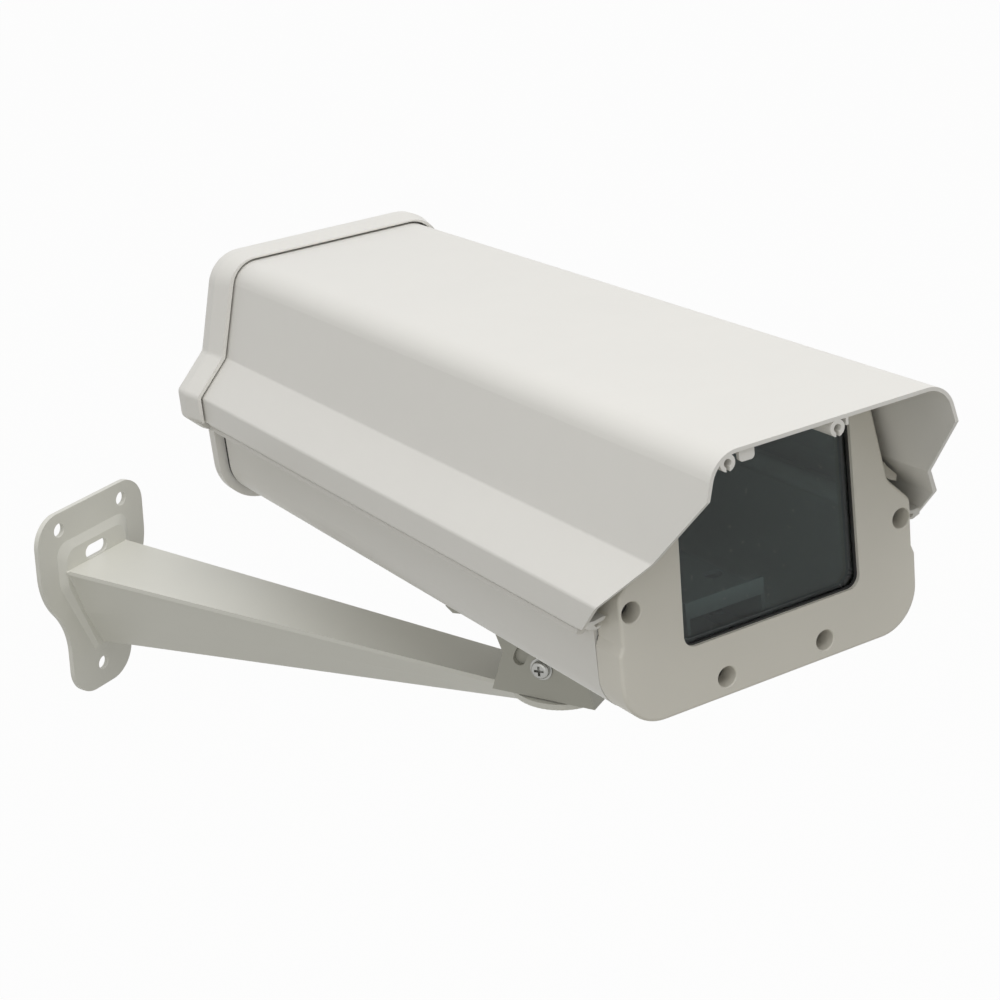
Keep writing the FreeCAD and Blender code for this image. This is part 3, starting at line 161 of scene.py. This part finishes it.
class NodeShop:
    """The nodes of one material or world."""

    def __init__(self, owner):
        owner.use_nodes = True
        self.tree = owner.node_tree
        self.tree.nodes.clear()

    def add(self, kind, settings, inputs, out=0):
        node = self.tree.nodes.new(kind)
        for key, value in settings.items():
            setattr(node, key, value)
        items = inputs.items() if isinstance(inputs, dict) else enumerate(inputs)
        for key, value in items:
            raw = value.value if isinstance(value, Sock) else value
            if isinstance(raw, bpy.types.NodeSocket):
                self.tree.links.new(raw, node.inputs[key])
            else:
                node.inputs[key].default_value = raw
        return Sock(self, node.outputs[out])

    def seen(self, *rays):
        """1 for the named kinds of ray, 0 for the light that falls on the object."""
        share = 0.0
        for ray in rays:
            kind = self.add("ShaderNodeLightPath", {}, [], out=ray)
            share = self.add("ShaderNodeMath", {"operation": "MAXIMUM"}, [share, kind])
        return share

    def end(self, kind, shader):
        """Joins the finished shader to the output node."""
        output = self.tree.nodes.new(kind)
        self.tree.links.new(shader.value, output.inputs["Surface"])


class MaterialShop(NodeShop):
    """One new material and the nodes in it."""

    def __init__(self, name):
        self.mat = bpy.data.materials.new(name)
        super().__init__(self.mat)
        self.place = self.add("ShaderNodeTexCoord", {}, [], out="Object")

    def noise(self, scale, detail, rough, stretch=(1, 1, 1)):
        """Cloudy pattern from 0 to 1 with the given number of waves to the metre."""
        inputs = {"Vector": self.place, "Scale": stretch}
        place = self.add("ShaderNodeMapping", {"vector_type": "POINT"}, inputs)
        inputs = {"Vector": place, "Scale": scale, "Detail": detail, "Roughness": rough}
        return self.add("ShaderNodeTexNoise", {}, inputs, out="Fac")

    def blend(self, factor, a, b):
        inputs = {0: factor, 6: colour4(a), 7: colour4(b)}
        return self.add("ShaderNodeMix", {"data_type": "RGBA"}, inputs, out=2)

    def shade(self, colour, factor):
        grey = self.add("ShaderNodeCombineColor", {}, [factor, factor, factor])
        settings = {"data_type": "RGBA", "blend_type": "MULTIPLY"}
        return self.add("ShaderNodeMix", settings, {0: 1.0, 6: colour4(colour), 7: grey}, out=2)

    def bump(self, height, depth):
        return self.add("ShaderNodeBump", {}, {"Strength": 1.0, "Distance": depth, "Height": height})

    def finish(self, **values):
        inputs = {key.replace("_", " "): value for key, value in values.items()}
        return self.surface(self.add("ShaderNodeBsdfPrincipled", {}, inputs))

    def surface(self, shader):
        self.end("ShaderNodeOutputMaterial", shader)
        return self.mat


def powder_coat(name, colour, settings, dirt=0.05):
    """Satin powder coat: fine bumps, a faint cloudiness and slightly duller patches."""
    m = MaterialShop(name)
    grain = m.noise(1.0 / settings.grain_size, 3.0, 0.6)
    cloud = m.noise(14.0, 4.0, 0.55)
    smear = m.noise(60.0, 3.0, 0.6)
    tone = (1.0 - dirt) + cloud * dirt + (smear - 0.5) * 0.02
    base = m.shade(colour, tone)
    rough = settings.gloss + (cloud - 0.5) * 0.12 + (grain - 0.5) * 0.05
    return m.finish(
        Base_Color=base, Roughness=rough, Normal=m.bump(grain, settings.grain_height),
        Specular_IOR_Level=0.45)


def metal(name, colour, rough):
    """Plated or bare metal with fine scratches and a faint cloudiness."""
    m = MaterialShop(name)
    fine = m.noise(2600.0, 2.0, 0.6, stretch=(1, 1, 6))
    cloud = m.noise(90.0, 3.0, 0.6)
    base = m.shade(colour, 0.86 + cloud * 0.22)
    return m.finish(
        Base_Color=base, Metallic=1.0, Roughness=rough + (fine - 0.5) * 0.12,
        Normal=m.bump(fine, 0.008 * MM))


def soft_black(name, value):
    """Matt rubber of the given grey, darker and lighter in patches."""
    m = MaterialShop(name)
    grain = m.noise(1500.0, 2.0, 0.6)
    cloud = m.noise(120.0, 2.0, 0.5)
    base = m.blend(cloud, (value * 0.8, value * 0.8, value * 0.8), (value * 1.3, value * 1.3, value * 1.25))
    return m.finish(Base_Color=base, Roughness=0.75 + (grain - 0.5) * 0.1, Normal=m.bump(grain, 0.02 * MM))


def moulded(name, colour):
    """Moulded plastic, or a dull paint with the same fine grain."""
    m = MaterialShop(name)
    grain = m.noise(1800.0, 3.0, 0.65)
    cloud = m.noise(70.0, 2.0, 0.5)
    base = m.shade(colour, 0.92 + cloud * 0.1)
    return m.finish(Base_Color=base, Roughness=0.55 + (grain - 0.5) * 0.12, Normal=m.bump(grain, 0.015 * MM))


def window_pane(name, settings):
    """Smooth tinted pane with a thin film of dust and a few specks."""
    m = MaterialShop(name)
    specks = m.noise(420.0, 1.0, 0.4).smooth(0.74, 0.78) * settings.dust
    film = m.noise(22.0, 3.0, 0.6).smooth(0.45, 0.85) * (0.05 * settings.dust)
    base = m.blend(specks + film, settings.tint, (0.75, 0.76, 0.74))
    return m.finish(Base_Color=base, Roughness=0.01 + specks * 0.4 + film, Transmission_Weight=1.0, IOR=1.33)


# Making meshes by hand
def clear_selection():
    if bpy.context.object and bpy.context.object.mode != "OBJECT":
        bpy.ops.object.mode_set(mode="OBJECT")
    bpy.ops.object.select_all(action="DESELECT")


def bake(piece, place=None):
    """Moves the object's place into its mesh."""
    clear_selection()
    if place is not None:
        piece.matrix_world = place @ piece.matrix_world
    piece.select_set(True)
    bpy.context.view_layer.objects.active = piece
    bpy.ops.object.transform_apply(location=True, rotation=True, scale=True)
    return piece


def join(pieces, name):
    clear_selection()
    for p in pieces:
        p.select_set(True)
    bpy.context.view_layer.objects.active = pieces[0]
    bpy.ops.object.join()
    whole = bpy.context.object
    whole.name = name
    return whole


def modify(piece, kind, **settings):
    clear_selection()
    piece.select_set(True)
    bpy.context.view_layer.objects.active = piece
    mod = piece.modifiers.new(kind.title(), kind)
    for key, value in settings.items():
        setattr(mod, key, value)
    bpy.ops.object.modifier_apply(modifier=mod.name)
    return piece


def smooth(piece, angle):
    clear_selection()
    piece.select_set(True)
    bpy.context.view_layer.objects.active = piece
    bpy.ops.object.shade_smooth_by_angle(angle=math.radians(angle))
    return piece


def dress(piece, material, body):
    piece.data.materials.clear()
    piece.data.materials.append(material)
    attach(piece, body)
    return piece


def straight_line(points, name):
    """A curve object that goes straight from point to point."""
    clear_selection()
    bpy.ops.curve.primitive_bezier_curve_add()
    line = bpy.context.object
    line.name = name
    line.data.splines.clear()
    spline = line.data.splines.new("POLY")
    spline.points.add(len(points) - 1)
    for p, at in zip(spline.points, points):
        p.co = (*at, 1.0)
    return line.data


def bead_along(points, radius, name):
    """A round bead that follows a line of points."""
    curve = straight_line(points, name)
    curve.bevel_depth = radius
    curve.bevel_resolution = 3
    curve.use_fill_caps = True
    bpy.ops.object.convert(target="MESH")
    return bpy.context.object


def profile_bar(section, front, back, name):
    """A bar with the given section, in the housing's X and Z, between two depths."""
    curve = straight_line([(x * MM, z * MM, 0) for x, z in section], name)
    curve.dimensions, curve.fill_mode = "2D", "BOTH"
    curve.splines[0].use_cyclic_u = True
    curve.extrude = (back - front) / 2 * MM
    bpy.ops.object.convert(target="MESH")
    piece = bpy.context.object
    bpy.ops.object.mode_set(mode="EDIT")
    bpy.ops.mesh.select_all(action="SELECT")
    bpy.ops.mesh.remove_doubles(threshold=0.005 * MM)
    bpy.ops.mesh.normals_make_consistent(inside=False)
    bpy.ops.object.mode_set(mode="OBJECT")
    modify(piece, "BEVEL", width=0.18 * MM, segments=2, limit_method="ANGLE")
    place = BODY @ Matrix.Translation(Vector((0, (front + back) / 2, 0)) * MM) @ turn(90, "X")
    return bake(piece, place)


class HOUSING_OT_coats(bpy.types.Operator):
    """Gives every solid of the frame its finish"""
    bl_idname = "housing.coats"
    bl_label = "Coats and finishes"

    def execute(self, context):
        s = context.scene.body_coats
        light = powder_coat("light_powder_coat", s.cover_colour, s)
        bracket = powder_coat("bracket_powder_coat", s.bracket_colour, s)
        # Painted shade: the yokes' darker coat stands for the housing's shadow over the head.
        head = powder_coat("head_coat_painted_shade", s.head_shaded_colour, s, dirt=0.08)
        # Partly painted shade: the frame's darker coat stands for the sunshade's shade over the window.
        front = powder_coat("front_frame_tint_and_shade", s.front_tint_and_shade_colour, s, dirt=0.07)
        zinc = metal("zinc_plate", (0.42, 0.42, 0.40), rough=0.36)
        dark = metal("black_screw_steel", (0.10, 0.10, 0.105), rough=0.38)
        plain = metal("mill_aluminium", (0.62, 0.62, 0.61), rough=0.38)
        rubber = soft_black("seal_rubber", value=0.025)
        plastic = moulded("gland_plastic", (0.33, 0.33, 0.32))
        sled = moulded("sled_paint", (0.66, 0.65, 0.62))
        glass = window_pane("window_pane", context.scene.window)
        finish = {
            "paint_light": light, "paint_bracket": bracket, "frame_coat": front, "zinc_steel": zinc,
            "dark_steel": dark, "aluminium_plain": plain, "rubber_black": rubber,
            "grey_plastic": plastic, "window": glass}
        own = {"lower_yoke": head, "upper_yoke": head, "camera_sled": sled}
        slots = {p["node"]: p["material_slot"] for p in frame["record"]["subparts"]}
        for name, node in frame["nodes"].items():
            node.data.materials.clear()
            node.data.materials.append(own.get(name, finish[slots[name]]))
        return {"FINISHED"}


class HOUSING_OT_root_weld(bpy.types.Operator):
    """Adds the weld bead where the arm meets the wall plate"""
    bl_idname = "housing.root_weld"
    bl_label = "Arm root weld"

    def execute(self, context):
        steps, wave, wave_step, stand_off = 40, 0.18 * MM, 2.1, 0.1 * MM
        keel = Vector((0, PLATE_FACE, ARM_KEEL)) * MM
        sides = []
        for s in (-1, 1):
            corner = Vector((s * ARM_ROOT_HALF_W, PLATE_FACE, ARM_TOP)) * MM
            line = []
            for i in range(steps + 1):
                ripple = wave * math.sin(i * wave_step + s)
                line.append(corner.lerp(keel, i / steps) + Vector((s * ripple, -stand_off, 0)))
            sides.append(bead_along(line, context.scene.weld.bead, "weld_side"))
        weld = join(sides, "arm_root_weld")
        smooth(bake(weld), angle=60)
        dress(weld, bpy.data.materials["bracket_powder_coat"], "bracket")
        return {"FINISHED"}


class HOUSING_OT_glands(bpy.types.Operator):
    """Models the ribbed cable glands on the lower rear cap"""
    bl_idname = "housing.glands"
    bl_label = "Cable glands"

    # Radius and height along the gland, from its seat out over the ribbed nut and back through the bore
    profile = [(9.0, 0.0), (9.0, 1.2), (8.6, 1.2), (8.6, 6.2), (6.9, 6.4), (6.9, 8.2), (8.2, 8.6),
               (8.2, 16.0), (7.6, 18.4), (6.3, 21.2), (5.0, 23.6), (4.3, 24.0), (3.5, 23.6), (3.5, -6.5),
               (5.9, -7.4), (5.9, 0.0)]
    # The nut's ribs: their number, the heights they run between, the radius they start at, and
    # how far tops and grooves lie off the profile, as a share of the radius
    ribs, rib_low, rib_high, rib_start, top_share, groove_share = 12, 8.4, 18.0, 7.0, 0.05, 0.0175

    def execute(self, context):
        made = []
        for x in (-GLAND_X, GLAND_X):
            tube = self.turned()
            self.press_ribs(tube.data)
            bpy.ops.object.mode_set(mode="EDIT")
            bpy.ops.mesh.select_all(action="SELECT")
            bpy.ops.mesh.normals_make_consistent(inside=False)
            bpy.ops.object.mode_set(mode="OBJECT")
            seat = Matrix.Translation(Vector((x, LOW_CAP_REAR, GLAND_Z)) * MM)
            made.append(bake(tube, BODY @ seat @ turn(-90, "X")))
        glands = smooth(join(made, "ribbed_glands"), angle=40)
        dress(glands, bpy.data.materials["gland_plastic"], "housing")
        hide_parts("cable_glands")
        return {"FINISHED"}

    def turned(self):
        """The gland's shell, ring after ring along the profile."""
        clear_selection()
        last_r, last_h = self.profile[0]
        bpy.ops.mesh.primitive_circle_add(
            vertices=48, radius=last_r * MM, fill_type="NOTHING", location=(0, 0, 0))
        tube = bpy.context.object
        bpy.ops.object.mode_set(mode="EDIT")
        bpy.ops.mesh.select_all(action="SELECT")
        for r, h in self.profile[1:]:
            bpy.ops.mesh.extrude_region_move(TRANSFORM_OT_translate={"value": (0, 0, (h - last_h) * MM)})
            k = r / last_r
            bpy.ops.transform.resize(value=(k, k, 1), center_override=(0, 0, 0))
            last_r, last_h = r, h
        bpy.ops.mesh.select_all(action="SELECT")
        bpy.ops.mesh.remove_doubles(threshold=0.01 * MM)
        bpy.ops.object.mode_set(mode="OBJECT")
        return tube

    def press_ribs(self, mesh):
        """Moves the nut's points out to the ribs and in to the grooves."""
        for v in mesh.vertices:
            angle = math.atan2(v.co.y, v.co.x)
            h, r = v.co.z / MM, math.hypot(v.co.x, v.co.y) / MM
            if self.rib_low < h < self.rib_high and r > self.rib_start:
                top = math.cos(angle * self.ribs) > 0
                k = 1.0 + (self.top_share if top else -self.groove_share)
                v.co.x, v.co.y = v.co.x * k, v.co.y * k


class HOUSING_OT_hems(bpy.types.Operator):
    """Adds the channels along the cover's lower edges and the lug at the right shoulder"""
    bl_idname = "housing.hems"
    bl_label = "Cover hems"

    # Sections in the housing's X and Z, for the right side
    channel = [(74.2, 40.4), (70.6, 39.2), (68.3, 39.7), (68.5, 40.5), (70.4, 40.2), (71.2, 41.3),
               (67.2, 41.9), (66.1, 42.9), (66.7, 43.5), (71.0, 42.7), (74.2, 43.2)]
    channel_front, channel_back = 6.4, 15.2
    lug = [(60.6, 64.0), (61.6, 62.2), (66.2, 57.6), (65.8, 55.1), (62.4, 56.6), (57.6, 61.6)]
    lug_front, lug_back = 9.0, 11.0

    def execute(self, context):
        bars = []
        for side in (-1, 1):
            section = [(side * x, z) for x, z in self.channel]
            bars.append(profile_bar(section, self.channel_front, self.channel_back, "hem_channel"))
        hems = smooth(join(bars, "hem_channels"), angle=40)
        dress(hems, bpy.data.materials["light_powder_coat"], "cover")
        clip = smooth(profile_bar(self.lug, self.lug_front, self.lug_back, "shoulder_clip"), angle=40)
        # The lug takes the front frame's coat, with its painted shade.
        dress(clip, bpy.data.materials["front_frame_tint_and_shade"], "housing")
        return {"FINISHED"}


class HOUSING_OT_stage(bpy.types.Operator):
    """Adds the floor, the lamps, the world and the camera"""
    bl_idname = "housing.stage"
    bl_label = "Stage"

    def execute(self, context):
        s = context.scene.housing_light
        clear_selection()
        bpy.ops.mesh.primitive_plane_add(size=14, location=(0, 0, -s.floor_drop))
        floor = bpy.context.object
        floor.name = "floor"
        floor.data.materials.append(self.floor_coat())
        self.lamp("top_lamp", at=(-0.25, -0.45, 1.7), to=(0, -0.25, 0.05), size=1.6, power=s.top)
        self.lamp("front_lamp", at=(-1.35, -0.5, 0.35), to=(-0.05, -0.25, 0.08), size=1.0, power=s.front)
        self.world(s.sky)
        self.camera()
        context.scene.view_settings.view_transform = "Standard"
        return {"FINISHED"}

    def lamp(self, name, at, to, size, power):
        bpy.ops.object.light_add(type="AREA", location=at)
        lamp = bpy.context.object
        lamp.name = name
        lamp.data.energy = power
        lamp.data.size = size
        lamp.rotation_euler = (Vector(to) - Vector(at)).to_track_quat("-Z", "Y").to_euler()

    def floor_coat(self):
        """Matt grey to the light, nearly white to the eye, so that the shadow still shows."""
        white_share = 0.97
        m = MaterialShop("pale_floor")
        grey = m.shade((0.45, 0.445, 0.405), 0.99 + m.noise(2.0, 2.0, 0.5) * 0.01)
        matt = m.add("ShaderNodeBsdfDiffuse", {}, {"Color": grey})
        white = m.add("ShaderNodeEmission", {}, {"Color": (1, 1, 1, 1), "Strength": 1.0})
        seen = m.seen("Is Camera Ray", "Is Glossy Ray", "Is Transmission Ray")
        return m.surface(m.add("ShaderNodeMixShader", {}, [seen * white_share, matt, white]))

    def world(self, strength):
        """White where it is seen, and an even light of the given strength on the object."""
        world = bpy.data.worlds.new("pale_room")
        bpy.context.scene.world = world
        room = NodeShop(world)
        seen = room.seen("Is Camera Ray", "Is Glossy Ray")
        power = room.add("ShaderNodeMapRange", {}, {"Value": seen, "To Min": strength, "To Max": 1.0})
        glow = room.add("ShaderNodeBackground", {}, {"Color": (1, 1, 1, 1), "Strength": power})
        room.end("ShaderNodeOutputWorld", glow)

    def camera(self):
        """The photograph's camera: axes and place in metres, lens in pixels of a square picture."""
        right = Vector((0.510775, -0.859698, -0.005359))
        down = Vector((-0.337505, -0.194782, -0.920951))
        ahead = Vector((0.790696, 0.472207, -0.389642))
        at = Vector((-0.721023, -0.677631, 0.419933))
        picture, focal, middle_x, middle_y = 1000.0, 2208.2, 530.8, 489.3
        sensor = 36.0
        bpy.ops.object.camera_add()
        cam = bpy.context.object
        cam.name = "photo_camera"
        cam.matrix_world = Matrix((
            (right.x, -down.x, -ahead.x, at.x),
            (right.y, -down.y, -ahead.y, at.y),
            (right.z, -down.z, -ahead.z, at.z),
            (0, 0, 0, 1)))
        cam.data.sensor_width = sensor
        cam.data.lens = focal / picture * sensor
        cam.data.shift_x = (picture / 2 - middle_x) / picture
        cam.data.shift_y = (middle_y - picture / 2) / picture
        cam.data.clip_start = 0.01
        cam.data.clip_end = 50
        bpy.context.scene.camera = cam


class HOUSING_PT_panel(bpy.types.Panel):
    bl_idname = "HOUSING_PT_panel"
    bl_label = "Camera housing"
    bl_space_type = "VIEW_3D"
    bl_region_type = "UI"
    bl_category = "Housing"

    def draw(self, context):
        scene, col = context.scene, self.layout.column()
        for group in (scene.body_coats, scene.window, scene.weld, scene.housing_light):
            box = col.box()
            for key in group.bl_rna.properties.keys():
                if key not in ("rna_type", "name"):
                    box.prop(group, key)
        for op in OPERATORS:
            col.operator(op.bl_idname)


OPERATORS = (
    HOUSING_OT_coats, HOUSING_OT_root_weld, HOUSING_OT_glands, HOUSING_OT_hems, HOUSING_OT_stage)
GROUPS = {
    "body_coats": BodyCoatSettings,
    "window": WindowSettings,
    "weld": WeldSettings,
    "housing_light": LightSettings,
}


def register():
    for cls in (*GROUPS.values(), *OPERATORS, HOUSING_PT_panel):
        bpy.utils.register_class(cls)
    for name, group in GROUPS.items():
        setattr(bpy.types.Scene, name, bpy.props.PointerProperty(type=group))


def unregister():
    for name in GROUPS:
        delattr(bpy.types.Scene, name)
    for cls in (HOUSING_PT_panel, *reversed(OPERATORS), *GROUPS.values()):
        bpy.utils.unregister_class(cls)


def main():
    register()
    bpy.ops.housing.coats()
    bpy.ops.housing.root_weld()
    bpy.ops.housing.glands()
    bpy.ops.housing.hems()
    bpy.ops.housing.stage()


if __name__ == "__main__":
    main()
